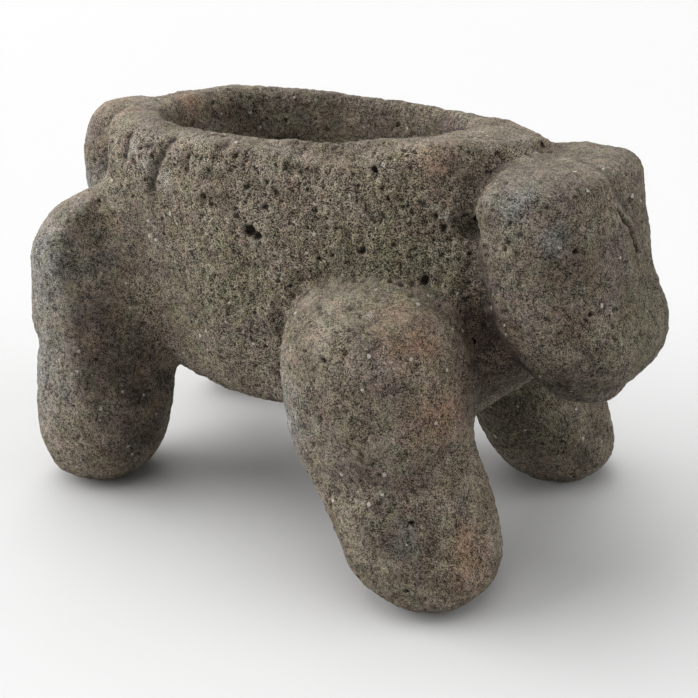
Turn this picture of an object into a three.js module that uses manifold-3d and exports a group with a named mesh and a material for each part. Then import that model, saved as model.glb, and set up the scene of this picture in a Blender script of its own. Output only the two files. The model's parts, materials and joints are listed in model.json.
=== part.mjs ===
// Molcajete: a grinding mortar carved from one block of vesicular basalt as a stout
// four-legged animal. A deep trough is hollowed into its back, a blunt square head stands
// at one end and a short upright tail at the other.
//
// Millimetres, +Z up, +X towards the head, so the animal's right side is at -Y.
// The origin is on the ground, under the middle of the whole figure.
//
// The real thing is a single stone. Each of the masses that the carver shaped (bowl, neck,
// head, tail and four legs) is a mesh of its own, parted from its neighbours by GAP.

import * as THREE from "three";
import { LoftGeometry } from "three/addons/geometries/LoftGeometry.js";
import { mergeVertices } from "three/addons/utils/BufferGeometryUtils.js";
import Module from "manifold-3d";

// Driving dimensions
const RIM_HEIGHT = 157;
const BELLY_HEIGHT = 45;
const HEAD_TOP = 152.5;
const CHIN_HEIGHT = 69;
const TAIL_TOP = 158;
const SHOULDER_TOP = 112;
const HAUNCH_TOP = 131;
const BOWL = { x: -11, y: 0, halfLength: 97.5, halfWidth: 57, skew: 0.1 };
const TROUGH = { x: -18, y: 3.5, halfLength: 68, halfWidth: 43, depth: 68, skew: 0.15 };
const TAPER = { start: -22, belly: 0.25, rim: 0.48, power: 1.3 };
const FRONT_RIGHT_FOOT = { x: 69.5, y: -54.5, girth: 0.975 };
const FRONT_LEFT_FOOT = { x: 68.5, y: 53, girth: 0.94 };
const REAR_RIGHT_FOOT = { x: -100, y: -54, girth: 0.97 };
const REAR_LEFT_FOOT = { x: -107, y: 56, girth: 0.95 };
const GAP = 0.3;

// Mesh fineness
const BOWL_SIDES = 52;
const LIMB_SIDES = 26;
const ROWS_PER_STATION = 1.5;
const MERGE_DISTANCE = 1e-4;

const wasm = await Module();
wasm.setup();

function solidOf(geometry) {
  const bare = new THREE.BufferGeometry();
  bare.setAttribute("position", geometry.getAttribute("position"));
  bare.setIndex(geometry.getIndex());
  const merged = mergeVertices(bare, MERGE_DISTANCE);
  return new wasm.Manifold(new wasm.Mesh({
    numProp: 3,
    vertProperties: new Float32Array(merged.attributes.position.array),
    triVerts: new Uint32Array(merged.index.array),
  }));
}

function geometryOf(solid) {
  const mesh = solid.getMesh();
  const geometry = new THREE.BufferGeometry();
  geometry.setAttribute("position", new THREE.BufferAttribute(mesh.vertProperties, 3));
  geometry.setIndex(new THREE.BufferAttribute(mesh.triVerts, 1));
  geometry.computeVertexNormals();
  return geometry;
}

// A mass is described by stations from the ground up, each a row of plain numbers:
// [height, centre x, centre y, half length along x, half width along y, squareness].
// Smooth curves through the stations give the level sections between them.
function sectionsThrough(stations) {
  const middles = stations.map(([z, x, y]) => new THREE.Vector3(x, y, z));
  const sizes = stations.map(([, , , halfX, halfY, square]) => new THREE.Vector3(halfX, halfY, square));
  const spine = new THREE.CatmullRomCurve3(middles, false, "catmullrom", 0.5);
  const girth = new THREE.CatmullRomCurve3(sizes, false, "catmullrom", 0.5);
  const steps = Math.round((stations.length - 1) * ROWS_PER_STATION);
  return Array.from({ length: steps + 1 }, (_, i) => {
    const size = girth.getPoint(i / steps);
    return { middle: spine.getPoint(i / steps), halfX: size.x, halfY: size.y, square: size.z };
  });
}

// One level section: an ellipse drawn out towards a rectangle as `square` rises above 2.
function sectionOutline({ middle, halfX, halfY, square }, sides, grow) {
  return Array.from({ length: sides }, (_, i) => {
    const angle = (i / sides) * 2 * Math.PI;
    const across = Math.cos(angle);
    const along = Math.sin(angle);
    const reach = (Math.abs(across) ** square + Math.abs(along) ** square) ** (-1 / square);
    return new THREE.Vector3(
      middle.x + (halfX + grow) * reach * across,
      middle.y + (halfY + grow) * reach * along,
      middle.z,
    );
  });
}

function loft(outlines) {
  return solidOf(new LoftGeometry(outlines, { capStart: true, capEnd: true }));
}

function mass(stations, grow = 0) {
  return loft(sectionsThrough(stations).map((section) => sectionOutline(section, LIMB_SIDES, grow)));
}

// The bowl narrows towards the head, more so at the rim than at the belly.
function narrowed(point) {
  const front = BOWL.x + BOWL.halfLength;
  const climb = THREE.MathUtils.smoothstep(point.z, BELLY_HEIGHT + 20, RIM_HEIGHT);
  const taper = THREE.MathUtils.lerp(TAPER.belly, TAPER.rim, climb);
  const forward = Math.max(0, (point.x - TAPER.start) / (front - TAPER.start));
  point.y *= 1 - taper * forward ** TAPER.power;
}

// Worked by eye, the rim is highest at the tail end and beside the head, and dips between.
function rimRise(point) {
  const swell = (x, y, spread) => Math.exp(-((point.x - x) ** 2 + (point.y - y) ** 2) / spread ** 2);
  const besideHead = 6 * swell(52, -18, 20);
  const dip = 4.5 * swell(24, -38, 20);
  const towardsTail = 0.02 * Math.max(0, -point.x);
  return besideHead - dip + towardsTail;
}

// The tail end of the bowl, and of the trough in it, is cut a little out of square.
function bowlOutline(section, skew, grow) {
  const outline = sectionOutline(section, BOWL_SIDES, grow);
  for (const point of outline) {
    const backward = THREE.MathUtils.smoothstep(-point.x, 0, BOWL.halfLength);
    point.x -= skew * backward * point.y;
    narrowed(point);
    point.z += rimRise(point) * THREE.MathUtils.smoothstep(point.z, RIM_HEIGHT - 35, RIM_HEIGHT);
  }
  return outline;
}

// Rows of [height, inset of the length, inset of the width, squareness]
const BOWL_OUTSIDE = [
  [BELLY_HEIGHT, 40, 31, 2.6],
  [BELLY_HEIGHT + 2, 30, 22, 2.7],
  [BELLY_HEIGHT + 7, 20, 14, 2.8],
  [BELLY_HEIGHT + 16, 12, 8, 3],
  [BELLY_HEIGHT + 32, 6, 4, 3.1],
  [BELLY_HEIGHT + 56, 2, 1, 3.2],
  [RIM_HEIGHT - 30, 0, 0, 3.2],
  [RIM_HEIGHT - 12, 0.5, 0.5, 3.2],
  [RIM_HEIGHT - 4, 2.5, 2.5, 3.2],
  [RIM_HEIGHT - 1, 5, 5, 3.1],
  [RIM_HEIGHT, 8, 8, 3],
];
const TROUGH_FLOOR = RIM_HEIGHT - TROUGH.depth;
const TROUGH_INSIDE = [
  [TROUGH_FLOOR, 38, 26, 2.2],
  [TROUGH_FLOOR + 4, 24, 17, 2.3],
  [TROUGH_FLOOR + 14, 12, 9, 2.5],
  [TROUGH_FLOOR + 34, 4, 4, 2.7],
  [RIM_HEIGHT - 8, 0, 1, 2.8],
  [RIM_HEIGHT - 2, -1.5, -0.5, 2.8],
  [RIM_HEIGHT + 8, -9, -8, 2.8],
];

function hollowForm(rows, form, grow = 0) {
  const stations = rows.map(([z, inLength, inWidth, square]) =>
    [z, form.x, form.y, form.halfLength - inLength, form.halfWidth - inWidth, square]);
  return loft(sectionsThrough(stations).map((section) => bowlOutline(section, form.skew, grow)));
}

// Legs, about the middle of the foot; a positive centre y leads away from the animal's side.
const FRONT_LEG = [
  [0, 2, 1, 11, 11, 2],
  [2, 1.5, 1, 18.5, 18.5, 2.1],
  [7, 1, 0, 25, 25, 2.2],
  [14, -1, 0, 29, 29, 2.2],
  [24, -4, -1, 30, 30, 2.2],
  [36, -9.5, -2, 31.5, 31, 2.2],
  [48, -18, -4, 33, 32, 2.2],
  [60, -23, -6, 35, 33, 2.2],
  [75, -25, -8, 36.5, 34, 2.2],
  [90, -25.5, -8, 35.5, 33, 2.2],
  [SHOULDER_TOP - 10, -27, -9, 30, 28, 2.2],
  [SHOULDER_TOP - 3, -27, -11, 21, 20, 2.1],
  [SHOULDER_TOP, -27, -13, 10, 9, 2],
];
const REAR_LEG = [
  [0, -2, 0, 12, 12, 2],
  [2, -2, 0, 18, 18, 2.1],
  [7, -2, 0, 23.5, 23.5, 2.2],
  [14, -1, 0, 26.5, 26.5, 2.2],
  [24, 0.5, 0, 28.5, 28.5, 2.3],
  [36, 2, -1, 29.8, 29.8, 2.3],
  [48, 2.5, -2, 29.3, 29.3, 2.3],
  [62, 2, -3, 27.5, 27.5, 2.3],
  [80, 2, -3, 27.3, 27.3, 2.3],
  [96, 4, -4, 27, 27, 2.3],
  [HAUNCH_TOP - 23, 5, -4, 26.5, 26.5, 2.3],
  [HAUNCH_TOP - 13, 8, -6, 23.5, 23.5, 2.2],
  [HAUNCH_TOP - 5, 11, -8, 17, 17, 2.1],
  [HAUNCH_TOP, 13, -10, 8, 8, 2],
];

function leg(stations, foot, grow = 0) {
  const side = Math.sign(foot.y);
  const placed = stations.map(([z, x, y, halfX, halfY, square]) =>
    [z, foot.x + x, foot.y + side * y, foot.girth * halfX, foot.girth * halfY, square]);
  return mass(placed, grow);
}

// Head: the jaw slopes down and forward to a square muzzle; brow and crown are flat.
const HEAD = [
  [CHIN_HEIGHT, 109, 0, 6, 14, 2.6],
  [CHIN_HEIGHT + 2, 109, 0, 10, 20, 2.8],
  [CHIN_HEIGHT + 8, 109, 0, 15.5, 26, 3.3],
  [CHIN_HEIGHT + 17, 107, 0, 21.5, 30.5, 3.6],
  [CHIN_HEIGHT + 27, 102, -1, 26.5, 33, 3.5],
  [108, 96.5, -1, 26, 34, 3.5],
  [122, 94, -1, 24.5, 35, 3.6],
  [138, 92.5, -1, 23, 35, 3.7],
  [HEAD_TOP - 5, 92, -1, 22, 34.5, 3.7],
  [HEAD_TOP - 1, 92, -1, 19.5, 32, 3.5],
  [HEAD_TOP, 92, -1, 15, 27, 3],
];

const NECK = [
  [60, 62, 2, 10, 18, 2.4],
  [64, 63, 2, 18, 26, 2.6],
  [74, 66, 1, 22, 30, 2.8],
  [90, 70, 0, 24, 32, 3],
  [110, 72, -1, 24, 32, 3],
  [130, 72, -1, 20, 30, 3],
  [140, 72, -1, 12, 22, 2.6],
];

const TAIL = [
  [86, -100, -10, 12, 12, 2],
  [92, -103, -10, 17, 17, 2.1],
  [104, -109, -10, 18, 20, 2.3],
  [122, -113, -10, 17, 20.5, 2.4],
  [TAIL_TOP - 18, -114, -9, 15.5, 20, 2.4],
  [TAIL_TOP - 5, -113, -8, 12.5, 17.5, 2.3],
  [TAIL_TOP, -112, -7, 8, 12, 2],
];

const BASALT = { worn: 0x6b6358, rough: 0x5f574c, shaded: 0x544c42 };
const stone = new THREE.Group();

function addMass(name, solid, colour) {
  const material = new THREE.MeshStandardMaterial({ color: colour, roughness: 0.95, metalness: 0 });
  const mesh = new THREE.Mesh(geometryOf(solid), material);
  mesh.name = name;
  stone.add(mesh);
}

const bowl = hollowForm(BOWL_OUTSIDE, BOWL).subtract(hollowForm(TROUGH_INSIDE, TROUGH));
const bowlSpace = hollowForm(BOWL_OUTSIDE, BOWL, GAP);
const neckSpace = mass(NECK, GAP);
const trunkSpace = bowlSpace.add(neckSpace);
const haunchSpace = leg(REAR_LEG, REAR_RIGHT_FOOT, GAP).add(leg(REAR_LEG, REAR_LEFT_FOOT, GAP));

addMass("bowl", bowl, BASALT.rough);
addMass("neck", mass(NECK).subtract(bowlSpace), BASALT.shaded);
addMass("head", mass(HEAD).subtract(trunkSpace), BASALT.worn);
addMass("tail", mass(TAIL).subtract(bowlSpace).subtract(haunchSpace), BASALT.rough);
addMass("front_right_leg", leg(FRONT_LEG, FRONT_RIGHT_FOOT).subtract(trunkSpace), BASALT.worn);
addMass("front_left_leg", leg(FRONT_LEG, FRONT_LEFT_FOOT).subtract(trunkSpace), BASALT.worn);
addMass("rear_right_leg", leg(REAR_LEG, REAR_RIGHT_FOOT).subtract(trunkSpace), BASALT.worn);
addMass("rear_left_leg", leg(REAR_LEG, REAR_LEFT_FOOT).subtract(trunkSpace), BASALT.worn);

// The middle of the ground plan goes to the origin.
const extent = new THREE.Box3().setFromObject(stone);
const middle = extent.getCenter(new THREE.Vector3());
stone.position.set(-middle.x, -middle.y, 0);

export default stone;
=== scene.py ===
# A molcajete: a mortar carved from one block of vesicular basalt as a stout four-legged animal.
#
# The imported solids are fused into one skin, softened where the masses meet, roughened, pitted
# and scored, and then parted again into one closed piece for each mass that the carver shaped.
# Everything is in metres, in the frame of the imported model: +X to the head, -Y to the near side.

import json
import math

import bmesh
import bpy
import numpy as np
from mathutils import Matrix, Vector
from mathutils.bvhtree import BVHTree


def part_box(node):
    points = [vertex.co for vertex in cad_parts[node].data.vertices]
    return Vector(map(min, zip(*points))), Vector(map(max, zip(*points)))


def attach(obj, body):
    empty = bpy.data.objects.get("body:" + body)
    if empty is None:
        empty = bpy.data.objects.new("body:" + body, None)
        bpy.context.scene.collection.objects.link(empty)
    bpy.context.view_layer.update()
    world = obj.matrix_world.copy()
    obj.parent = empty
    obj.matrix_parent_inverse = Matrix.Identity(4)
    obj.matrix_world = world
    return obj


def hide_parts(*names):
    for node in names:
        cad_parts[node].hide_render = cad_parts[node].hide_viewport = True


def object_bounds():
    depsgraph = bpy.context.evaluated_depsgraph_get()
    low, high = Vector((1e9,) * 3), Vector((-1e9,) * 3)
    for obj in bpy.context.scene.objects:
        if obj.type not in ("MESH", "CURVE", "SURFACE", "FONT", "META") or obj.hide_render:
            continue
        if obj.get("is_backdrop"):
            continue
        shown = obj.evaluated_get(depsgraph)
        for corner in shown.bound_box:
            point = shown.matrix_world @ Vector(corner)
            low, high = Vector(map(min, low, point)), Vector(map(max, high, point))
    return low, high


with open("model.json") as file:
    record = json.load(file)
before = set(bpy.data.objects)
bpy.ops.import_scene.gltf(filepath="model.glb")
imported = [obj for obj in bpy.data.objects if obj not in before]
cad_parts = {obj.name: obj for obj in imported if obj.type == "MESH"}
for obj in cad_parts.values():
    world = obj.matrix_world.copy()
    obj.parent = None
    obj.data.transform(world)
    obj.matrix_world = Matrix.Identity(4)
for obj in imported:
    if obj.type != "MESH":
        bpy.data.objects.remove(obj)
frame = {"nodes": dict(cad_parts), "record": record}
CAD_LOW, CAD_HIGH = (np.array(corner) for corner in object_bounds())
NODES = sorted(frame["nodes"])
MM = 0.001

# The skin
WELD = 0.001 * MM
SWELL = 0.25 * MM
VOXEL = 1.3 * MM
# How far from a second mass the stone counts as a seam, and how strongly at the seam itself,
# where anything over 1 widens the part that is fully softened
SEAM_REACH = 10 * MM
SEAM_STRENGTH = 1.2
# How quickly a mass's share of a point falls away with distance
SHARE_REACH = 1 * MM
# Below this height the feet keep their flat soles
SOLE_HEIGHT = 3 * MM
# Rounds of softening: all over, along the seams and once the faces are cut finer
OVERALL_ROUNDS = 5
SEAM_ROUNDS = 60
FINE_ROUNDS = 1
# The skin's directions are worked out again after so many rounds of one-way softening
NORMALS_KEPT = 8
# Rounds that blur each mass's share of a point into its neighbours' shares
SHARE_ROUNDS = 8

# How fully the carver blended each mass into its neighbours, from 0 to 1
BLENDING = {
    "bowl": 1.0,
    "neck": 0.25,
    "tail": 0.3,
    "head": 0.08,
    "front_right_leg": 0.45,
    "front_left_leg": 0.7,
    "rear_right_leg": 1.0,
    "rear_left_leg": 1.0,
}
# How much is worn off whatever stands out of each mass
WEAR_ROUNDS = 60
WEAR = {
    "bowl": 0.05,
    "neck": 0.3,
    "tail": 0.5,
    "head": 0.6,
    "front_right_leg": 0.6,
    "front_left_leg": 0.6,
    "rear_right_leg": 0.6,
    "rear_left_leg": 0.6,
}

# How rough each mass was left, from 0, rubbed smooth, to 1, as chiselled
RUGGEDNESS = {
    "bowl": 1.0,
    "neck": 0.7,
    "tail": 0.35,
    "head": 0.4,
    "front_right_leg": 0.42,
    "front_left_leg": 0.4,
    "rear_right_leg": 0.35,
    "rear_left_leg": 0.4,
}
# How light each mass's stone is made, set to match how bright each mass looks: partly its own tone and
# partly painted shade, most of all on the head and the front left leg
LIGHTNESS = {
    "bowl": 0.84,
    "neck": 0.76,
    "tail": 1.08,
    "head": 0.7,
    "front_right_leg": 0.86,
    "front_left_leg": 0.7,
    "rear_right_leg": 1.08,
    "rear_left_leg": 0.95,
}
# Inside the trough the stone is made darker still, as painted shade in the hollow
TROUGH_LIGHTNESS = 0.73
TROUGH_RUGGEDNESS = 0.35
TROUGH_REACH = 14 * MM
# The trough and the patches fade out at this many times their reach, and stains at this many
# times their radius, give or take their ragged edge
PATCH_FADE = 1.5
STAIN_FADE = 1.15
# How much rougher and smoother areas of this size differ, whatever mass they are on
RUGGEDNESS_SWING = 0.4
RUGGEDNESS_SIZE = 24 * MM
# Surfaces that face up more than the first slope are worn, fully from the second, and lose this
# share of their ruggedness
WORN_SLOPES = (0.55, 0.9)
WORN_SMOOTHING = 0.3

# Random relief: height and size in mm, then the seed
UNEVENNESS = [(0.9, 38, 1), (0.7, 17, 2)]
# Lumps and grain: size, height where smooth and further height where rough, all in mm
LUMPS = (8, 0.2, 0.5)
GRAIN = (2.6, 0.14, 0.4)
# Random pits: cell, smallest and largest radius and depth in mm, share of cells, darkness, seed
PITS = [
    (17, 1.2, 2.6, 2.0, 0.45, 1.0, 40),
    (5.5, 0.7, 1.7, 1.3, 0.5, 1.0, 50),
    (3.0, 0.6, 1.2, 0.8, 0.65, 0.8, 60),
]
# The share of a random pit's depth that is left where the stone is smoothest
SMOOTH_PIT = 0.15
# Pinholes are as deep where the stone is smooth: cell, radii, share of cells, seed
PINHOLES = (6.5 * MM, 0.6 * MM, 1.1 * MM, 0.4, 45)
PINHOLE_DEPTH = 1.0 * MM
# Below 1, the walls of a pit are steeper and its floor flatter
PIT_POWER = 0.7
VESICLE_POWER = 0.6
# A listed mark this deep is as dark as a pit can be
DARKEST_MARK = 2 * MM
# What makes round pits and straight cuts ragged: two sizes of wandering, with their seeds, and
# how far pits and marks are pushed by each
BEND = (4 * MM, 20)
CRINKLE = (1.7 * MM, 30)
PIT_PUSH = (1.1 * MM, 0.6 * MM)
MARK_PUSH = (0.7 * MM, 0.5 * MM)
# The hollows between the masses wander too: how far, over what size, and the seed
HOLLOW_PUSH = 2 * MM
HOLLOW_BEND = (12 * MM, 70)
# How ragged the edges of stains are, as a share of their radius, over what size, and the seed
STAIN_RAGGEDNESS = 0.35
STAIN_NOISE = (9 * MM, 90)
# Rounds of blurring that give a point's surroundings, and the height over them that counts as 1
RELIEF_ROUNDS = 24
RELIEF_HEIGHT = 0.5 * MM

# Single marks. Places are shares of a CAD node's box along x, y and z; sizes are in mm.
# Flats struck off corners: node, a place on the flat, the way it faces
FLATS = [
    ("head", (0.50, 0.046, 0.954), (-0.05, -0.64, 0.77)),
    ("head", (0.10, 0.23, 1.00), (-0.55, -0.45, 0.70)),
    ("head", (0.00, 0.06, 0.60), (-0.70, -0.70, 0.10)),
    ("rear_right_leg", (0.73, 0.21, 0.69), (0.90, -0.40, 0.15)),
]
# Broad hollows between the masses: node, places from end to end, half width, depth
HOLLOWS = [
    ("head", [(0.17, 0.62, 1.02), (0.10, 0.25, 1.0), (0.0, 0.13, 0.93), (0.01, 0.09, 0.74)], 5, 3.5),
    ("head", [(0.01, 0.09, 0.74), (0.08, 0.05, 0.51), (0.13, 0.07, 0.24)], 9, 4.5),
    ("head", [(0.01, 0.93, 0.95), (0.02, 0.95, 0.7), (0.08, 0.96, 0.45), (0.16, 0.92, 0.2)], 8, 4.5),
    ("front_right_leg", [(-0.06, 0.5, 0.6), (-0.04, 0.5, 0.86), (0.05, 0.5, 0.97)], 5, 1.4),
    ("front_right_leg", [(0.05, 0.5, 0.97), (0.28, 0.55, 1.02), (0.5, 0.66, 1.02)], 5, 0.8),
    ("front_right_leg", [(0.36, 0.03, 0.44), (0.61, 0.04, 0.45), (0.8, 0.4, 0.5)], 10, 2.6),
    ("head", [(0.86, 0.12, 0.14), (0.90, 0.30, 0.09), (0.90, 0.70, 0.06)], 6, 2.0),
    ("rear_right_leg", [(0.8, 0.14, 0.86), (0.82, 0.14, 0.66), (0.86, 0.14, 0.45)], 9, 2.4),
    ("rear_right_leg", [(0.0, 0.5, 0.5), (0.1, 0.12, 0.5), (0.5, 0.0, 0.5)], 8, 1.2),
]
# Where the carver ran one mass smoothly into another: node, places from end to end, reach
FILLETS = [
    ("rear_right_leg", [(0.83, 0.40, 0.97), (0.88, 0.42, 0.80), (0.93, 0.48, 0.55), (0.97, 0.70, 0.37)], 24),
    ("rear_left_leg", [(0.83, 0.60, 0.97), (0.88, 0.58, 0.80), (0.93, 0.52, 0.55), (0.97, 0.30, 0.37)], 24),
    ("front_right_leg", [(0.72, 0.60, 0.95), (0.80, 0.62, 0.80), (0.80, 0.80, 0.62)], 14),
    ("front_left_leg", [(0.72, 0.40, 0.95), (0.80, 0.38, 0.80)], 12),
]
FILLET_ROUNDS = 240
# Places rougher or smoother than the mass they are on: node, place, reach, ruggedness
PATCHES = [
    ("front_right_leg", (0.22, 0.46, 1.00), 11, 0.85),
    ("front_right_leg", (0.42, 0.52, 1.01), 13, 0.9),
    ("bowl", (0.24, 0.02, 0.62), 16, 0.6),
    ("bowl", (0.30, 0.02, 0.44), 18, 0.6),
    ("bowl", (0.36, 0.04, 0.30), 18, 0.65),
    ("bowl", (0.88, 0.24, 0.93), 11, 0.5),
    ("head", (0.45, 0.35, 1.00), 20, 0.75),
]
# Large vesicles: node, place, radius, depth
VESICLES = [
    ("bowl", (0.53, 0.02, 0.70), 2.4, 3.4),
    ("bowl", (0.545, 0.02, 0.685), 2.0, 3.0),
    ("bowl", (0.53, 0.02, 0.84), 1.4, 1.8),
    ("bowl", (0.43, 0.00, 0.80), 1.3, 1.8),
    ("bowl", (0.75, 0.11, 0.67), 1.5, 2.0),
    ("bowl", (0.67, 0.07, 0.63), 1.2, 1.6),
    ("bowl", (0.86, 0.17, 0.59), 1.6, 2.2),
    ("bowl", (0.88, 0.22, 0.75), 1.4, 2.0),
    ("bowl", (0.87, 0.20, 0.78), 1.1, 1.6),
    ("front_right_leg", (0.45, 0.62, 1.00), 1.2, 1.4),
    ("front_right_leg", (0.38, 0.09, 0.84), 1.3, 1.4),
    ("front_right_leg", (0.20, 0.11, 0.77), 1.0, 1.2),
    ("front_right_leg", (0.78, 0.11, 0.36), 1.1, 1.5),
    ("head", (0.69, 0.08, 0.74), 1.2, 1.6),
    ("head", (0.80, 0.11, 0.48), 1.0, 1.4),
    ("head", (0.90, 0.32, 0.43), 1.1, 1.4),
    ("head", (0.64, 0.03, 0.40), 0.9, 1.2),
    ("head", (0.55, 0.02, 0.91), 0.8, 1.0),
]
# Cuts: node, places from end to end, half width, depth
CUTS = [
    ("head", [(0.52, 0.50, 1.0), (0.62, 0.42, 0.97), (0.72, 0.42, 0.90), (0.76, 0.50, 0.84)], 4.0, 1.0),
    ("head", [(0.75, 0.42, 0.84), (0.80, 0.52, 0.74), (0.82, 0.60, 0.63)], 1.5, 1.8),
    ("bowl", [(0.21, 0.06, 0.945), (0.19, 0.05, 0.86)], 4.5, 1.3),
    ("bowl", [(0.34, 0.05, 0.95), (0.295, 0.02, 0.86), (0.28, 0.02, 0.79)], 4.0, 1.9),
    ("bowl", [(0.47, 0.05, 0.95), (0.44, 0.01, 0.86)], 3.6, 1.2),
    ("bowl", [(0.39, 0.02, 0.93), (0.38, 0.0, 0.86)], 3.0, 0.9),
    ("bowl", [(0.62, 0.05, 0.92), (0.66, 0.08, 0.90)], 3.4, 1.3),
    ("bowl", [(0.84, 0.20, 0.82), (0.91, 0.24, 0.76)], 1.1, 1.0),
    ("front_right_leg", [(0.70, 0.24, 0.49), (0.78, 0.29, 0.52), (0.82, 0.52, 0.56)], 2.2, 0.6),
]
# Stains, chips and patches of painted shade: kind, node, place, radius
STAINS = [
    ("cool", "head", (0.33, 0.02, 0.92), 11),
    ("cool", "head", (0.57, 0.02, 0.78), 6),
    ("cool", "tail", (0.30, 0.10, 0.45), 20),
    ("cool", "front_right_leg", (0.77, 0.06, 0.30), 6),
    ("cool", "front_right_leg", (0.15, 0.20, 0.60), 20),
    ("cool", "rear_right_leg", (0.35, 0.05, 0.80), 32),
    ("cool", "rear_right_leg", (0.20, 0.05, 0.45), 32),
    ("warm", "front_right_leg", (0.60, 0.40, 0.97), 12),
    ("warm", "front_right_leg", (0.70, 0.38, 0.90), 16),
    ("warm", "front_right_leg", (0.80, 0.39, 0.66), 17),
    ("warm", "front_right_leg", (0.96, 0.30, 0.22), 15),
    ("warm", "rear_right_leg", (0.85, 0.14, 0.55), 9),
    ("warm", "bowl", (0.09, 0.25, 0.98), 11),
    ("warm", "bowl", (0.11, 0.55, 0.97), 12),
    ("warm", "bowl", (0.86, 0.22, 0.94), 9),
    ("warm", "tail", (0.40, 0.40, 1.00), 12),
    ("warm", "neck", (0.50, 0.05, 0.40), 16),
    # Painted shade: dark patches where the near hind leg's side towards the front legs, the throat, the
    # underside of the jaw and the near front leg below the knee lie in shade
    ("painted_shade", "rear_right_leg", (0.84, 0.14, 0.78), 13),
    ("painted_shade", "rear_right_leg", (0.91, 0.20, 0.62), 15),
    ("painted_shade", "rear_right_leg", (0.86, 0.14, 0.42), 12),
    ("painted_shade", "rear_right_leg", (0.93, 0.32, 0.46), 18),
    ("painted_shade", "rear_right_leg", (0.97, 0.42, 0.33), 17),
    ("painted_shade", "rear_right_leg", (0.95, 0.40, 0.18), 16),
    ("painted_shade", "rear_right_leg", (1.00, 0.36, 0.47), 17),
    ("painted_shade", "rear_right_leg", (1.03, 0.38, 0.30), 18),
    ("painted_shade", "neck", (0.50, 0.05, 0.45), 15),
    ("painted_shade", "neck", (0.45, 0.02, 0.75), 9),
    ("painted_shade", "head", (0.30, 0.05, 0.15), 22),
    ("painted_shade", "head", (0.66, 0.10, 0.10), 19),
    ("painted_shade", "front_right_leg", (0.82, -0.15, 0.40), 25),
    ("olive", "bowl", (0.78, 0.13, 0.64), 30),
    ("olive", "bowl", (0.45, 0.02, 0.45), 34),
    ("olive", "head", (0.95, 0.50, 0.40), 26),
    ("olive", "front_left_leg", (0.60, 0.10, 0.40), 36),
    ("chipped", "bowl", (0.27, 0.03, 0.86), 4.0),
    ("chipped", "bowl", (0.33, 0.01, 0.82), 5.0),
    ("chipped", "bowl", (0.23, 0.05, 0.91), 4.5),
    ("chipped", "bowl", (0.865, 0.21, 0.81), 2.4),
    ("chipped", "bowl", (0.885, 0.22, 0.79), 2.4),
    ("chipped", "tail", (0.75, 0.02, 0.57), 3.0),
    ("chipped", "front_right_leg", (0.50, 0.30, 0.97), 2.4),
    ("chipped", "front_right_leg", (0.10, 0.30, 0.62), 3.2),
    ("chipped", "front_right_leg", (0.16, 0.14, 0.56), 2.4),
    ("chipped", "head", (0.45, 0.03, 0.97), 2.0),
]

# Rays cast from each point to find how sheltered it is, for painted shade: how many, how far, and from how
# far off the skin
SHELTER_RAYS = 6
SHELTER_REACH = 55 * MM
SHELTER_START = 0.5 * MM
# How far the rays spread from straight out: just under 1, so that none points into the stone
SHELTER_SPREAD = 0.99
SHELTER_SEED = 1

# The camera: degrees round from the near side, above the horizon and of tilt, then metres
CAMERA_AZIMUTH = 36.2
CAMERA_ELEVATION = 22.8
CAMERA_ROLL = -1.88
CAMERA_DISTANCE = 0.4686
CAMERA_AIM = Vector((-0.000225, -0.000194, 0.0603))
CAMERA_LENS = 56.94
SENSOR_WIDTH = 36

# The floor, a hair below the soles, and the light. Each lamp: name, degrees round from the near
# side and above the horizon, and strength. All are spread over so many degrees.
FLOOR_REACH = 12.0
FLOOR_LEVEL = -0.1 * MM
FLOOR_COLOUR = (0.5, 0.5, 0.5)
SKY_STRENGTH = 0.18
LAMP_SPREAD = 60
LAMPS = [
    ("left_front", -60, 18, 4.8),
    ("left_rear", -120, 50, 1.9),
    ("overhead", 0, 89, 1.75),
    ("right_rear", 115, 18, 1.9),
]


# --- Surfaces as arrays -------------------------------------------------------------------

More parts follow.
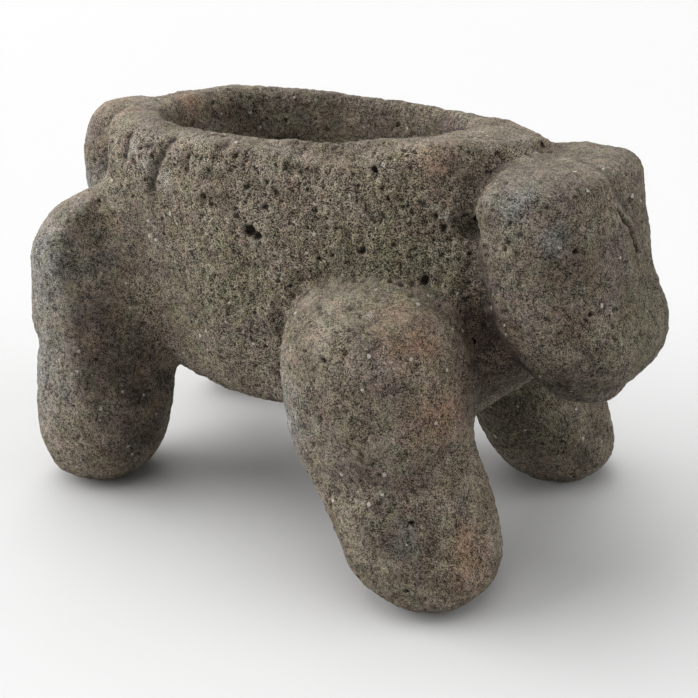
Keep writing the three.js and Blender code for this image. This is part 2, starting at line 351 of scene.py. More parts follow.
class Skin:
    """Points joined by four-sided faces, with fields of numbers known at each point."""

    def __init__(self, points, faces, fields=None):
        self.points = points
        self.faces = faces
        self.fields = fields or {}
        starts = faces.ravel().astype(np.int64)
        ends = np.roll(faces, -1, axis=1).ravel().astype(np.int64)
        codes = np.minimum(starts, ends) * len(points) + np.maximum(starts, ends)
        unique, self.face_edges = np.unique(codes, return_inverse=True)
        self.edges = np.stack([unique // len(points), unique % len(points)], axis=1)
        self.degree = np.bincount(self.edges.ravel(), minlength=len(points))

    def neighbour_mean(self, values):
        """The mean of the values at each point's neighbours."""
        a, b = self.edges.T
        columns = values.reshape(len(values), -1).T
        total = [np.bincount(a, c[b], len(c)) + np.bincount(b, c[a], len(c)) for c in columns]
        return (np.stack(total, axis=1) / self.degree[:, None]).reshape(values.shape)

    def spread(self, values, rounds):
        """The values blurred over the skin, further with each round."""
        for _ in range(rounds):
            values = (values + self.neighbour_mean(values)) / 2
        return values

    def relax(self, rounds, weight=1.0):
        """Softens the shape, fully where weight is 1 and not at all where it is 0."""
        share = np.broadcast_to(weight, len(self.points))[:, None] / 2
        for _ in range(rounds):
            self.points = self.points + share * (self.neighbour_mean(self.points) - self.points)

    def relax_one_way(self, rounds, weight, way):
        """Softens only what stands out, if way is -1, or only what lies deep, if way is 1."""
        for round_number in range(rounds):
            if round_number % NORMALS_KEPT == 0:
                normals = self.normals()
            step = self.neighbour_mean(self.points) - self.points
            moving = np.einsum("ij,ij->i", step, normals) * way > 0
            self.points = self.points + (moving * weight / 2)[:, None] * step

    def normals(self):
        """The way out of the stone at each point."""
        corners = self.points[self.faces]
        across = corners[:, 2] - corners[:, 0]
        along = corners[:, 3] - corners[:, 1]
        facing = np.cross(across, along)
        total = np.zeros_like(self.points)
        for column in self.faces.T:
            for axis in range(3):
                total[:, axis] += np.bincount(column, facing[:, axis], len(self.points))
        return total / np.linalg.norm(total, axis=1, keepdims=True)

    def quartered(self):
        """The same skin with each face cut into four. Fields are carried along."""
        a, b = self.edges.T
        count = len(self.points)
        middles = count + self.face_edges.reshape(-1, 4)
        centres = count + len(self.edges) + np.arange(len(self.faces))

        def finer(values):
            return np.concatenate([values, (values[a] + values[b]) / 2, values[self.faces].mean(1)])

        quarters = [
            np.stack([self.faces[:, i], middles[:, i], centres, middles[:, i - 1]], axis=1)
            for i in range(4)
        ]
        faces = np.stack(quarters, axis=1).reshape(-1, 4)
        fields = {name: finer(values) for name, values in self.fields.items()}
        return Skin(finer(self.points), faces, fields)


def connected_groups(count, starts, ends):
    """Numbers that many things so that all that a chain of links joins have one number."""
    parent = list(range(count))

    def root(thing):
        while parent[thing] != thing:
            parent[thing] = parent[parent[thing]]
            thing = parent[thing]
        return thing

    for start, end in zip(starts.tolist(), ends.tolist()):
        parent[root(start)] = root(end)
    return np.array([root(thing) for thing in range(count)])


def largest_surface(points, faces):
    """The outer surface alone, without the bubbles that remeshing leaves inside the stone."""
    groups = connected_groups(len(points), faces[:, :3].ravel(), faces[:, 1:].ravel())
    kept = groups == np.bincount(groups).argmax()
    renumbered = np.cumsum(kept) - 1
    return points[kept], renumbered[faces[kept[faces[:, 0]]]]


def fused_skin():
    """The CAD solids swollen until their gaps close, and remeshed as one skin of small squares."""
    block = bmesh.new()
    for node in NODES:
        block.from_mesh(frame["nodes"][node].data)
    bmesh.ops.remove_doubles(block, verts=block.verts, dist=WELD)
    block.normal_update()
    for corner in block.verts:
        corner.co += corner.normal * SWELL
    mesh = bpy.data.meshes.new("block")
    block.to_mesh(mesh)
    block.free()
    holder = bpy.data.objects.new("block", mesh)
    bpy.context.scene.collection.objects.link(holder)
    remesh = holder.modifiers.new("remesh", "REMESH")
    remesh.mode = "VOXEL"
    remesh.voxel_size = VOXEL
    fused = bpy.data.meshes.new_from_object(holder.evaluated_get(bpy.context.evaluated_depsgraph_get()))
    points = np.empty(len(fused.vertices) * 3)
    fused.vertices.foreach_get("co", points)
    corners = np.empty(len(fused.loops), np.int32)
    fused.loops.foreach_get("vertex_index", corners)
    bpy.data.objects.remove(holder)
    return Skin(*largest_surface(points.reshape(-1, 3), corners.reshape(-1, 4)))


def node_distances(points):
    """How far each point is from each CAD node, counting no further than SEAM_REACH."""
    distances = np.full((len(points), len(NODES)), SEAM_REACH)
    for column, node in enumerate(NODES):
        mesh = frame["nodes"][node].data
        tree = BVHTree.FromPolygons([v.co for v in mesh.vertices], [f.vertices for f in mesh.polygons])
        low, high = (np.array(corner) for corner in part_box(node))
        near = np.all((points > low - SEAM_REACH) & (points < high + SEAM_REACH), axis=1)
        for i in np.flatnonzero(near):
            distance = tree.find_nearest(points[i], SEAM_REACH)[3]
            if distance is not None:
                distances[i, column] = distance
    return distances


# --- Noise ----------------------------------------------------------------------------------

EDGE_DIRECTIONS = np.array([
    (1, 1, 0), (-1, 1, 0), (1, -1, 0), (-1, -1, 0),
    (1, 0, 1), (-1, 0, 1), (1, 0, -1), (-1, 0, -1),
    (0, 1, 1), (0, -1, 1), (0, 1, -1), (0, -1, -1),
], float)
CUBE_CORNERS = [(x, y, z) for x in (0, 1) for y in (0, 1) for z in (0, 1)]


def scrambled(cells, seed):
    """A repeatable whole number, from 0 to 65535, for each whole-numbered cell of space."""
    x, y, z = cells.astype(np.int64).astype(np.uint32).T
    mixed = x * np.uint32(73856093) ^ y * np.uint32(19349663) ^ z * np.uint32(83492791)
    mixed = (mixed ^ np.uint32(seed * 40503)) * np.uint32(2654435761)
    mixed = (mixed ^ (mixed >> np.uint32(15))) * np.uint32(2246822519)
    return (mixed ^ (mixed >> np.uint32(13))) & np.uint32(0xFFFF)


def chance(cells, seed):
    """A repeatable number from 0 to 1 for each cell."""
    return scrambled(cells, seed) / 65536


def noise(points, size, seed):
    """Smooth noise, about -1 to 1, with features of the given size."""
    scaled = points / size
    base = np.floor(scaled)
    inner = scaled - base
    fade = inner ** 3 * (inner * (inner * 6 - 15) + 10)
    total = np.zeros(len(points))
    for corner in CUBE_CORNERS:
        step = np.array(corner)
        weight = np.prod(np.where(step, fade, 1 - fade), axis=1)
        slope = EDGE_DIRECTIONS[scrambled(base + step, seed) % 12]
        total += weight * np.einsum("ij,ij->i", slope, inner - step)
    return total


def layered_noise(points, size, seed, layers, falloff=0.5):
    """Noise with finer noise added to it, each layer half the size of the last and weaker."""
    return sum(falloff ** i * noise(points, size / 2 ** i, seed + i) for i in range(layers))


def scattered_pits(points, spacing, smallest, largest, share, seed):
    """Depth from 0 to 1 of round pits, one at most to each cell of the given spacing."""
    scaled = points / spacing
    base = np.floor(scaled - 0.5)
    depth = np.zeros(len(points))
    for corner in CUBE_CORNERS:
        cells = base + np.array(corner)
        jitter = np.stack([chance(cells, seed + axis) for axis in (1, 2, 3)], axis=1)
        centre = (cells + 0.25 + 0.5 * jitter) * spacing
        radius = smallest + (largest - smallest) * chance(cells, seed + 4) ** 2
        distance = np.linalg.norm(points - centre, axis=1) / radius
        pit = np.clip(1 - distance ** 2, 0, 1) * (chance(cells, seed + 5) < share)
        depth = np.maximum(depth, pit)
    return depth


# --- The stone ------------------------------------------------------------------------------

def trough_share(points):
    """1 in the hollow, fading to 0 away from it. The record's openings say where it is."""
    share = np.zeros(len(points))
    for opening in frame["record"]["physics"]["openings"]:
        low, high = np.array(opening["box_m"])
        outside = np.maximum(0, np.maximum(low - points, points - high))
        distance = np.linalg.norm(outside, axis=1)
        share = np.maximum(share, np.clip(PATCH_FADE - distance / TROUGH_REACH, 0, 1))
    return share


def per_node(values):
    """The values of a table of masses, in the order of NODES."""
    return np.array([values[node] for node in NODES])


def seam_weight(distances):
    """How much each point is softened, from 0 away from the seams to 1 where masses run together."""
    nearest = np.argsort(distances, axis=1)[:, :2]
    second = np.take_along_axis(distances, nearest[:, 1:], axis=1)[:, 0]
    blending = per_node(BLENDING)[nearest].min(1)
    return blending * np.clip(SEAM_STRENGTH * (1 - second / SEAM_REACH), 0, 1)


def softened_stone():
    """The fused skin with carved hollows where masses meet, and each point's share of each mass."""
    skin = fused_skin()
    distances = node_distances(skin.points)
    membership = np.exp(-distances / SHARE_REACH)
    membership /= membership.sum(1, keepdims=True)
    standing = np.clip(skin.points[:, 2] / SOLE_HEIGHT, 0, 1)
    skin.relax(OVERALL_ROUNDS, standing)
    skin.relax(SEAM_ROUNDS, skin.spread(seam_weight(distances), 4) * standing)
    strike_flats(skin, skin.spread(membership, 2))
    skin.relax_one_way(WEAR_ROUNDS, skin.spread(membership @ per_node(WEAR), 8) * standing, -1)
    joined = [along_path(skin.points, skin.points, *fillet) for fillet in FILLETS]
    skin.relax_one_way(FILLET_ROUNDS, np.clip(2 * np.max(joined, axis=0), 0, 1) * standing, 1)
    skin.fields["membership"] = skin.spread(membership, SHARE_ROUNDS)
    carve_hollows(skin)
    skin.fields["shelter"] = shelter(skin)
    return skin


def strike_flats(skin, membership):
    """Pushes back whatever of a mass lies beyond its listed flats."""
    for node, place, outward in FLATS:
        outward = np.array(outward) / np.linalg.norm(outward)
        beyond = np.maximum(0, (skin.points - place_in(node, place)) @ outward)
        beyond *= membership[:, NODES.index(node)]
        skin.points = skin.points - beyond[:, None] * outward


def wandering(points, size, seed):
    """A push in a smoothly changing direction at each point, about 1 long."""
    return np.stack([noise(points, size, seed + axis) for axis in range(3)], axis=1)


def carve_hollows(skin):
    """Sinks the listed hollows, with soft sides and a wandering course."""
    points = skin.points
    warped = points + HOLLOW_PUSH * wandering(points, *HOLLOW_BEND)
    depth = np.zeros(len(points))
    for node, places, half_width, deepest in HOLLOWS:
        share = along_path(points, warped, node, places, half_width)
        depth += deepest * MM * share ** 2 * (3 - 2 * share)
    skin.points = points - depth[:, None] * skin.spread(skin.normals(), 8)
    skin.relax(4, depth != 0)


def shelter(skin):
    """How much of the view out from each point the stone itself blocks, from 0 to 1."""
    tree = BVHTree.FromPolygons(skin.points.tolist(), skin.faces.tolist())
    normals = skin.normals()
    origins = (skin.points + SHELTER_START * normals).tolist()
    scatter = np.random.default_rng(SHELTER_SEED).normal(size=(SHELTER_RAYS, len(origins), 3))
    scatter /= np.linalg.norm(scatter, axis=2, keepdims=True)
    blocked = np.zeros(len(origins))
    for turn in scatter:
        rays = (normals + SHELTER_SPREAD * turn).tolist()
        hits = [tree.ray_cast(o, r, SHELTER_REACH)[3] is not None for o, r in zip(origins, rays)]
        blocked += hits
    return skin.spread(blocked / SHELTER_RAYS, 10)


def place_in(node, shares):
    """The place that lies at these shares of a CAD node's box along x, y and z."""
    low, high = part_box(node)
    return np.array(low) + np.array(shares) * (np.array(high) - np.array(low))


def nearest_point(points, place):
    """The point of the skin that is nearest to a place."""
    return points[np.linalg.norm(points - place, axis=1).argmin()]


def along_path(points, warped, node, places, half_width):
    """1 on a path over the surface through the listed places, fading to 0 beside it."""
    corners = [nearest_point(points, place_in(node, place)) for place in places]
    share = np.zeros(len(points))
    for start, end in zip(corners, corners[1:]):
        along = np.clip((warped - start) @ (end - start) / np.sum((end - start) ** 2), 0, 1)
        off = np.linalg.norm(warped - start - along[:, None] * (end - start), axis=1)
        share = np.maximum(share, np.clip(1 - off / (half_width * MM), 0, 1))
    return share


def marks_depth(points, warped):
    """How deep, in metres, the listed vesicles and cuts go at each point."""
    depth = np.zeros(len(points))
    for node, place, radius, deepest in VESICLES:
        middle = nearest_point(points, place_in(node, place))
        distance = np.linalg.norm(warped - middle, axis=1) / (radius * MM)
        sunk = np.clip(1 - distance ** 2, 0, 1) ** VESICLE_POWER
        depth = np.maximum(depth, deepest * MM * sunk)
    for node, places, half_width, deepest in CUTS:
        depth += deepest * MM * along_path(points, warped, node, places, half_width)
    return depth


def stain(points, kind):
    """How strongly each point is tinted, from 0 to 1, in soft patches with ragged edges."""
    ragged = STAIN_RAGGEDNESS * layered_noise(points, *STAIN_NOISE, 3)
    strength = np.zeros(len(points))
    for listed, node, place, radius in STAINS:
        if listed == kind:
            distance = np.linalg.norm(points - place_in(node, place), axis=1) / (radius * MM)
            strength = np.maximum(strength, np.clip(STAIN_FADE - distance + ragged, 0, 1))
    return strength


def ruggedness(skin, trough, worn):
    """How rough each point was left, from 0 to about 1."""
    rugged = skin.fields["membership"] @ per_node(RUGGEDNESS)
    for node, place, reach, level in PATCHES:
        distance = np.linalg.norm(skin.points - place_in(node, place), axis=1) / (reach * MM)
        rugged += np.clip(PATCH_FADE - distance, 0, 1) * (level - rugged)
    rugged += trough * (TROUGH_RUGGEDNESS - rugged)
    rugged *= 1 + RUGGEDNESS_SWING * layered_noise(skin.points, RUGGEDNESS_SIZE, 80, 2)
    return rugged * (1 - WORN_SMOOTHING * worn)


def bumps(points, rugged):
    """The height, in metres, of the carver's unevenness and the stone's lumps and grain."""
    height = sum(tall * MM * noise(points, size * MM, seed) for tall, size, seed in UNEVENNESS)
    size, least, further = LUMPS
    height += (least + further * rugged) * MM * layered_noise(points, size * MM, 3, 2)
    size, least, further = GRAIN
    return height + (least + further * rugged) * MM * layered_noise(points, size * MM, 8, 2, 0.7)


def random_pits(warped, rugged):
    """How deep the scattered pits go at each point, in metres, and how dark they are there."""
    depth = np.zeros(len(warped))
    darkness = np.zeros(len(warped))
    for cell, smallest, largest, deepest, share, weight, seed in PITS:
        pit = scattered_pits(warped, cell * MM, smallest * MM, largest * MM, share, seed)
        pit *= SMOOTH_PIT + (1 - SMOOTH_PIT) * rugged
        depth += deepest * MM * pit ** PIT_POWER
        darkness += weight * pit
    pinholes = scattered_pits(warped, *PINHOLES)
    return np.maximum(depth, PINHOLE_DEPTH * pinholes ** PIT_POWER), darkness + pinholes


def roughen(skin):
    """Moves each point in or out for bumps, pits and marks, and notes what the material needs."""
    points = skin.points
    trough = trough_share(points)
    least, most = WORN_SLOPES
    worn = np.clip((skin.spread(skin.normals(), 6)[:, 2] - least) / (most - least), 0, 1)
    rugged = ruggedness(skin, trough, worn)
    bend = wandering(points, *BEND)
    crinkle = wandering(points, *CRINKLE)
    depth, darkness = random_pits(points + PIT_PUSH[0] * bend + PIT_PUSH[1] * crinkle, rugged)
    marks = marks_depth(points, points + MARK_PUSH[0] * bend + MARK_PUSH[1] * crinkle)
    skin.fields["pit"] = np.clip(darkness + marks / DARKEST_MARK, 0, 1)
    skin.fields["rugged"] = rugged
    skin.fields["worn"] = worn * (1 - trough)
    # Each mass's lightness, partly painted shade
    lightness = skin.spread(skin.fields["membership"] @ per_node(LIGHTNESS), 10)
    # Painted shade inside the trough
    skin.fields["lightness"] = lightness + trough * (TROUGH_LIGHTNESS - lightness)
    for kind in ("cool", "warm", "olive", "painted_shade", "chipped"):
        skin.fields[kind] = stain(points, kind)
    skin.points = points + (bumps(points, rugged) - depth - marks)[:, None] * skin.normals()
    skin.points = np.clip(skin.points, CAD_LOW, CAD_HIGH)


def relief(skin):
    """How far each point stands out of its surroundings, from -1, in a hollow, to 1."""
    surroundings = skin.spread(skin.points, RELIEF_ROUNDS)
    height = np.einsum("ij,ij->i", skin.points - surroundings, skin.normals())
    return np.clip(height / RELIEF_HEIGHT, -1, 1)


# --- Pieces ---------------------------------------------------------------------------------

def owners(skin):
    """The mass that each face belongs to, in one patch of faces for each mass."""
    owner = skin.fields["membership"][skin.faces].sum(1).argmax(1)
    one, other = np.argsort(skin.face_edges, kind="stable").reshape(-1, 2).T // 4
    same = owner[one] == owner[other]
    patch = connected_groups(len(owner), one[same], other[same])
    largest = [np.bincount(patch[owner == column]).argmax() for column in range(len(NODES))]
    for stray in np.setdiff1d(patch, largest):
        outward = np.concatenate([
            other[(patch[one] == stray) & (patch[other] != stray)],
            one[(patch[other] == stray) & (patch[one] != stray)],
        ])
        owner[patch == stray] = np.bincount(owner[outward]).argmax()
    return owner


def capped(points, faces):
    """Points inside the stone, one for each open rim of a patch, and triangles from it to the rim."""
    starts = faces.ravel()
    ends = np.roll(faces, -1, axis=1).ravel()
    forward = starts.astype(np.int64) * len(points) + ends
    backward = ends.astype(np.int64) * len(points) + starts
    open_sides = ~np.isin(forward, backward)
    starts, ends = starts[open_sides], ends[open_sides]
    groups = connected_groups(len(points), starts, ends)[starts]
    centres, caps = [], []
    for group in np.unique(groups):
        rim = groups == group
        centre = len(points) + len(centres)
        centres.append(points[starts[rim]].mean(0))
        caps.append(np.stack([ends[rim], starts[rim], np.full(rim.sum(), centre)], axis=1))
    return np.array(centres).reshape(-1, 3), np.concatenate(caps)


def piece_mesh(name, skin, triangles, normals):
    """A closed mesh of one mass's triangles, lit as a part of the whole stone."""
    used, renumbered = np.unique(triangles, return_inverse=True)
    points = skin.points[used]
    outside = renumbered.reshape(-1, 3)
    centres, caps = capped(points, outside)
    faces = np.concatenate([outside, caps])
    mesh = bpy.data.meshes.new(name)
    mesh.vertices.add(len(points) + len(centres))
    mesh.vertices.foreach_set("co", np.concatenate([points, centres]).ravel())
    mesh.loops.add(faces.size)
    mesh.loops.foreach_set("vertex_index", faces.ravel().astype(np.int32))
    mesh.polygons.add(len(faces))
    mesh.polygons.foreach_set("loop_start", np.arange(len(faces), dtype=np.int32) * 3)
    mesh.update(calc_edges=True)
    for field, values in skin.fields.items():
        if values.ndim == 1:
            attribute = mesh.attributes.new(field, "FLOAT", "POINT")
            padded = np.concatenate([values[used], np.zeros(len(centres))])
            attribute.data.foreach_set("value", padded.astype(np.float32))
    inward = np.tile((0.0, 0.0, 1.0), (len(centres), 1))
    mesh.normals_split_custom_set_from_vertices(np.concatenate([normals[used], inward]).tolist())
    return mesh


def build_stone(material):
    """The roughened skin, parted into one piece for each mass."""
    skin = softened_stone().quartered()
    skin.relax(FINE_ROUNDS)
    roughen(skin)
    skin.fields["relief"] = relief(skin)
    normals = skin.normals()
    owner = owners(skin)
    for column, node in enumerate(NODES):
        quads = skin.faces[owner == column]
        triangles = np.concatenate([quads[:, [0, 1, 2]], quads[:, [0, 2, 3]]])
        mesh = piece_mesh(node, skin, triangles, normals)
        mesh.materials.append(material)
        piece = bpy.data.objects.new("stone_" + node, mesh)
        bpy.context.scene.collection.objects.link(piece)
        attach(piece, "root")
        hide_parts(node)


# --- The material ---------------------------------------------------------------------------

class Graph:
    """A material's node tree, built by calls that return sockets."""

    def __init__(self, material):
        self.tree = material.node_tree
        self.tree.nodes.clear()

    def add(self, kind, inputs=None, output=0, **settings):
        """A new node, its inputs set to numbers or linked to sockets. Returns one output."""
        node = self.tree.nodes.new(kind)
        for name, value in settings.items():
            setattr(node, name, value)
        for name, value in (inputs or {}).items():
            if isinstance(value, bpy.types.NodeSocket):
                self.tree.links.new(value, node.inputs[name])
            else:
                node.inputs[name].default_value = value
        return node.outputs[output]

    def noise(self, where, size, detail=3, roughness=0.6):
        inputs = {"Vector": where, "Scale": 1 / size, "Detail": detail, "Roughness": roughness}
        return self.add("ShaderNodeTexNoise", inputs)

    def ranged(self, value, low, high, new_low=0, new_high=1):
        """The value stretched from one range to another, smoothly and no further than its ends."""
        inputs = {"Value": value, "From Min": low, "From Max": high, "To Min": new_low, "To Max": new_high}
        return self.add("ShaderNodeMapRange", inputs, interpolation_type="SMOOTHSTEP")

    def math(self, operation, a, b=0.0):
        return self.add("ShaderNodeMath", {0: a, 1: b}, operation=operation)

    def mixed(self, share, a, b, blend_type="MIX"):
        """Colour a with a share of colour b. Either may be a socket or three numbers."""
        node = self.tree.nodes.new("ShaderNodeMix")
        node.data_type = "RGBA"
        node.blend_type = blend_type
        node.clamp_factor = True
        for index, value in ((0, share), (6, a), (7, b)):
            if isinstance(value, bpy.types.NodeSocket):
                self.tree.links.new(value, node.inputs[index])
            else:
                node.inputs[index].default_value = value if index == 0 else (*value, 1)
        return node.outputs[2]

    def attribute(self, name):
        """A field of the mesh."""
        return self.add("ShaderNodeAttribute", output=2, attribute_name=name)

    def share(self, name, most):
        """A field of the mesh from 0 to 1, scaled to reach no further than `most`."""
        return self.math("MULTIPLY", self.attribute(name), most)

    def finish(self, shader):
        surface = self.tree.nodes.new("ShaderNodeOutputMaterial").inputs["Surface"]
        self.tree.links.new(shader, surface)


# How soft the edges of spots are, in cells
SPOT_EDGE = 0.07
# Linear colours of the stone
DARK_STONE = (0.100, 0.081, 0.058)
LIGHT_STONE = (0.142, 0.120, 0.090)
OLIVE_STONE = (0.112, 0.104, 0.066)
PURPLE_STONE = (0.104, 0.080, 0.074)
COOL_STONE = (0.124, 0.122, 0.112)
WARM_STONE = (0.185, 0.112, 0.072)
# The colour of painted shade, laid on places that lie in shade
PAINTED_SHADE_STONE = (0.036, 0.027, 0.023)
WORN_STONE = (0.260, 0.232, 0.190)
PALE_CRYSTAL = (0.420, 0.395, 0.345)
PORE_DEPTH = (0.014, 0.011, 0.008)
# The colour of the shade painted into hollows and sheltered places
PAINTED_HOLLOW_SHADE = (0.028, 0.021, 0.018)


def warped_place(graph, place, size, amount):
    """The place pushed about by noise, so that round cells come out ragged."""
    push = graph.add("ShaderNodeTexNoise", {"Vector": place, "Scale": 1 / size, "Detail": 1}, output=1)
    centred = graph.add("ShaderNodeVectorMath", {0: push, 1: (0.5,) * 3}, operation="SUBTRACT")
    inputs = {0: centred, 1: (2 * amount,) * 3, 2: place}
    return graph.add("ShaderNodeVectorMath", inputs, operation="MULTIPLY_ADD")


def voronoi_spots(graph, place, spacing, threshold, largest, rugged=None):
    """Spots of up to `largest` cells in radius, in the share of cells that pass the threshold."""
    cells = {"Vector": place, "Scale": 1 / spacing, "Randomness": 1.0}
    distance = graph.add("ShaderNodeTexVoronoi", cells, feature="F1")
    kinds = graph.add("ShaderNodeTexVoronoi", cells, output=1, feature="F1")
    kind = graph.add("ShaderNodeSeparateColor", {"Color": kinds})
    if rugged is not None:
        kind = graph.math("ADD", kind, graph.ranged(rugged, 0.2, 1.0, -0.3, 0.06))
    radius = graph.ranged(kind, threshold, 1.0, 0.0, largest)
    return graph.ranged(graph.math("SUBTRACT", radius, distance), 0.0, SPOT_EDGE)


def tinted(graph, place):
    """The stone's colour in broad patches, with the listed stains and the listed patches of painted shade.
    """
    clouds = graph.noise(place, 15)
    purple = graph.noise(place, 21)
    # The noise's colour output, for faint changes of hue
    hue = graph.add("ShaderNodeTexNoise", {"Vector": place, "Scale": 1 / 6, "Detail": 3}, output=1)
    colour = graph.mixed(graph.ranged(clouds, 0.35, 0.65), DARK_STONE, LIGHT_STONE)
    colour = graph.mixed(graph.share("olive", 0.6), colour, OLIVE_STONE)
    colour = graph.mixed(graph.ranged(purple, 0.52, 0.68, 0, 0.5), colour, PURPLE_STONE)
    colour = graph.mixed(graph.share("cool", 0.85), colour, COOL_STONE)
    colour = graph.mixed(graph.share("warm", 0.5), colour, WARM_STONE)
    # Painted shade on the listed shaded places
    colour = graph.mixed(graph.share("painted_shade", 0.85), colour, PAINTED_SHADE_STONE)
    return graph.mixed(0.16, colour, hue, blend_type="SOFT_LIGHT")


def speckled(graph, place, rugged, fine, colour):
    """The colour with lighter and darker mineral grain, and blotches where the stone is denser."""
    mottle = graph.noise(place, 1.7, detail=2)
    blotch = graph.noise(place, 7, detail=2)
    contrast = graph.ranged(rugged, 0.2, 1.0, 0.95, 1.9)
    fine_swing = graph.ranged(fine, 0.25, 0.75, -0.85, 1.35)
    mottle_swing = graph.ranged(mottle, 0.3, 0.7, -0.52, 0.52)
    blotch_swing = graph.ranged(blotch, 0.32, 0.68, -0.3, 0.26)
    swing = graph.math("ADD", graph.math("MULTIPLY", fine_swing, contrast), mottle_swing)
    swing = graph.math("ADD", swing, blotch_swing)
    brightness = graph.math("MAXIMUM", graph.math("ADD", 1.0, swing), 0.15)
    # Darkened by each mass's lightness, partly painted shade
    brightness = graph.math("MULTIPLY", brightness, graph.attribute("lightness"))
    return graph.add("ShaderNodeVectorMath", {0: colour, "Scale": brightness}, operation="SCALE")


def pores(graph, place, rugged):
    """Where the fine pores are, too small to be in the mesh, with ragged edges."""
    fine_pore = voronoi_spots(graph, warped_place(graph, place, 0.9, 0.5), 1.7, 0.6, 0.36, rugged)
    coarse_pore = voronoi_spots(graph, warped_place(graph, place, 1.7, 1.1), 3.9, 0.72, 0.3, rugged)
    return graph.math("MAXIMUM", fine_pore, coarse_pore)


def worn_and_shaded(graph, colour):
    """Worn high spots are paler; hollows and, most of all, sheltered places are darkened with painted shade.
    """
    standing_out = graph.attribute("relief")
    sheltered = graph.ranged(graph.attribute("shelter"), 0.2, 0.9, 0, 0.8)
    colour = graph.mixed(graph.share("worn", 0.15), colour, WORN_STONE)
    colour = graph.mixed(graph.ranged(standing_out, 0.1, 1.0, 0, 0.35), colour, WORN_STONE)
    # Painted shade in hollows, darker the deeper they lie below their surroundings
    colour = graph.mixed(graph.ranged(standing_out, 0.0, -1.0, 0, 0.45), colour, PAINTED_HOLLOW_SHADE)
    # Painted shade where the stone blocks the view out
    return graph.mixed(sheltered, colour, PAINTED_HOLLOW_SHADE)


def basalt():
    """Grey-brown vesicular basalt: speckled grain, open pores, pale crystals and faint stains."""
    material = bpy.data.materials.new("basalt")
    material.use_nodes = True
    graph = Graph(material)
    # The place is turned into millimetres, so every size given to the noises is in mm
    metres = graph.add("ShaderNodeTexCoord", output=3)
    place = graph.add("ShaderNodeVectorMath", {0: metres, 1: (1 / MM,) * 3}, operation="MULTIPLY")
    rugged = graph.attribute("rugged")
    fine = graph.noise(place, 0.48, detail=1)
    pore = pores(graph, place, rugged)
    speck = voronoi_spots(graph, warped_place(graph, place, 0.9, 0.5), 3.8, 0.73, 0.24)
    chip = graph.math("MULTIPLY", graph.attribute("chipped"), graph.ranged(fine, 0.4, 0.6, 0.1, 1.0))

    colour = speckled(graph, place, rugged, fine, tinted(graph, place))
    pitted = graph.ranged(graph.attribute("pit"), 0.1, 0.9, 0, 0.8)
    colour = graph.mixed(graph.math("MULTIPLY", speck, 0.85), colour, PALE_CRYSTAL)
    colour = graph.mixed(graph.math("MULTIPLY", pore, 0.9), colour, PORE_DEPTH)
    colour = graph.mixed(pitted, colour, PORE_DEPTH)
    colour = graph.mixed(graph.math("MULTIPLY", chip, 0.85), colour, PALE_CRYSTAL)
    colour = worn_and_shaded(graph, colour)

    # Grain and pores too fine for the mesh
    height = graph.math("SUBTRACT", graph.math("MULTIPLY", fine, 0.9), pore)
    bump = graph.add("ShaderNodeBump", {"Strength": 1.0, "Distance": 0.5 * MM, "Height": height})
    rough = graph.ranged(fine, 0.3, 0.7, 0.98, 0.82)
    shader = graph.add(
        "ShaderNodeBsdfPrincipled",
        {"Base Color": colour, "Roughness": rough, "Normal": bump, "Specular IOR Level": 0.2},
    )
    graph.finish(shader)
    return material


# --- The studio -----------------------------------------------------------------------------

def plain_material(name, colour, roughness):
    """A material of one colour."""
    material = bpy.data.materials.new(name)
    material.use_nodes = True
    shader = material.node_tree.nodes["Principled BSDF"]
    shader.inputs["Base Color"].default_value = (*colour, 1)
    shader.inputs["Roughness"].default_value = roughness
    return material


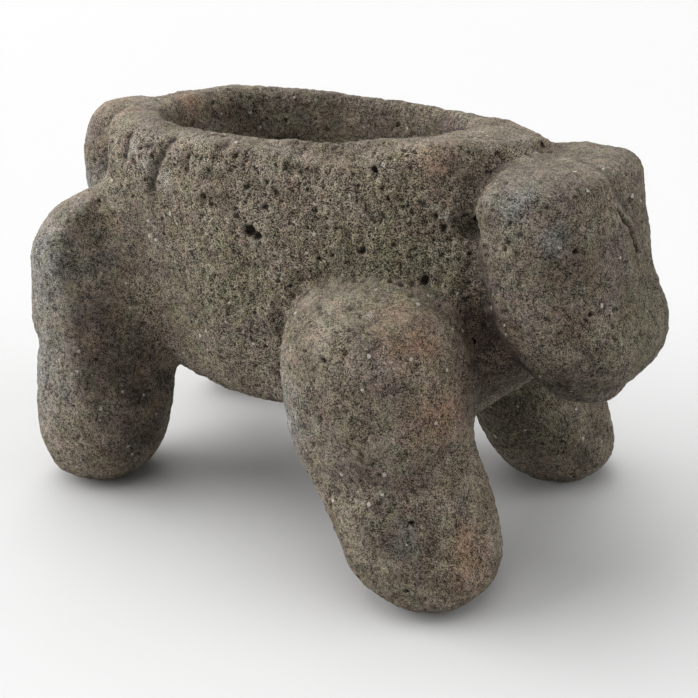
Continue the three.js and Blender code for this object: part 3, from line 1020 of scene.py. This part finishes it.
def build_floor():
    """A plain pale floor that reaches beyond the camera's view on every side."""
    mesh = bpy.data.meshes.new("floor")
    signs = ((-1, -1), (1, -1), (1, 1), (-1, 1))
    corners = [(x * FLOOR_REACH, y * FLOOR_REACH, FLOOR_LEVEL) for x, y in signs]
    mesh.from_pydata(corners, [], [(0, 1, 2, 3)])
    mesh.materials.append(plain_material("pale_floor", FLOOR_COLOUR, 0.9))
    floor = bpy.data.objects.new("floor", mesh)
    bpy.context.scene.collection.objects.link(floor)
    floor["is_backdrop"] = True


def facing(direction, roll=0.0):
    """The turn that points an object's -Z axis against direction, its X axis level before roll."""
    back = direction.normalized()
    right = Vector((0, 0, 1)).cross(back).normalized()
    up = back.cross(right)
    turn = Matrix((right, up, back)).transposed()
    return turn @ Matrix.Rotation(roll, 3, "Z")


def direction(azimuth, elevation):
    """From the object towards a place so many degrees round from the near side and up."""
    across, rise = math.radians(azimuth), math.radians(elevation)
    level = math.cos(rise)
    return Vector((math.sin(across) * level, -math.cos(across) * level, math.sin(rise)))


def build_camera():
    """The camera, looking down a little at the near side and the head."""
    data = bpy.data.cameras.new("camera")
    data.sensor_width = SENSOR_WIDTH
    data.lens = CAMERA_LENS
    data.clip_start = 0.01
    camera = bpy.data.objects.new("camera", data)
    bpy.context.scene.collection.objects.link(camera)
    back = direction(CAMERA_AZIMUTH, CAMERA_ELEVATION)
    turn = facing(back, math.radians(CAMERA_ROLL)).to_4x4()
    camera.matrix_world = Matrix.Translation(CAMERA_AIM + CAMERA_DISTANCE * back) @ turn
    bpy.context.scene.camera = camera


def add_soft_light(name, azimuth, elevation, strength):
    """Light from one side of the sky, spread widely, so that its shadows are soft."""
    data = bpy.data.lights.new(name, "SUN")
    data.angle = math.radians(LAMP_SPREAD)
    data.energy = strength
    lamp = bpy.data.objects.new(name, data)
    bpy.context.scene.collection.objects.link(lamp)
    toward = direction(azimuth, elevation)
    lamp.matrix_world = Matrix.Translation(toward) @ facing(toward).to_4x4()


def build_lights():
    """A dim white sky and the listed lamps."""
    world = bpy.data.worlds.new("world")
    world.use_nodes = True
    background = world.node_tree.nodes["Background"]
    background.inputs["Color"].default_value = (1, 1, 1, 1)
    background.inputs["Strength"].default_value = SKY_STRENGTH
    bpy.context.scene.world = world
    for lamp in LAMPS:
        add_soft_light(*lamp)


bpy.context.scene.view_settings.view_transform = "Standard"
build_camera()
build_lights()
build_floor()
build_stone(basalt())
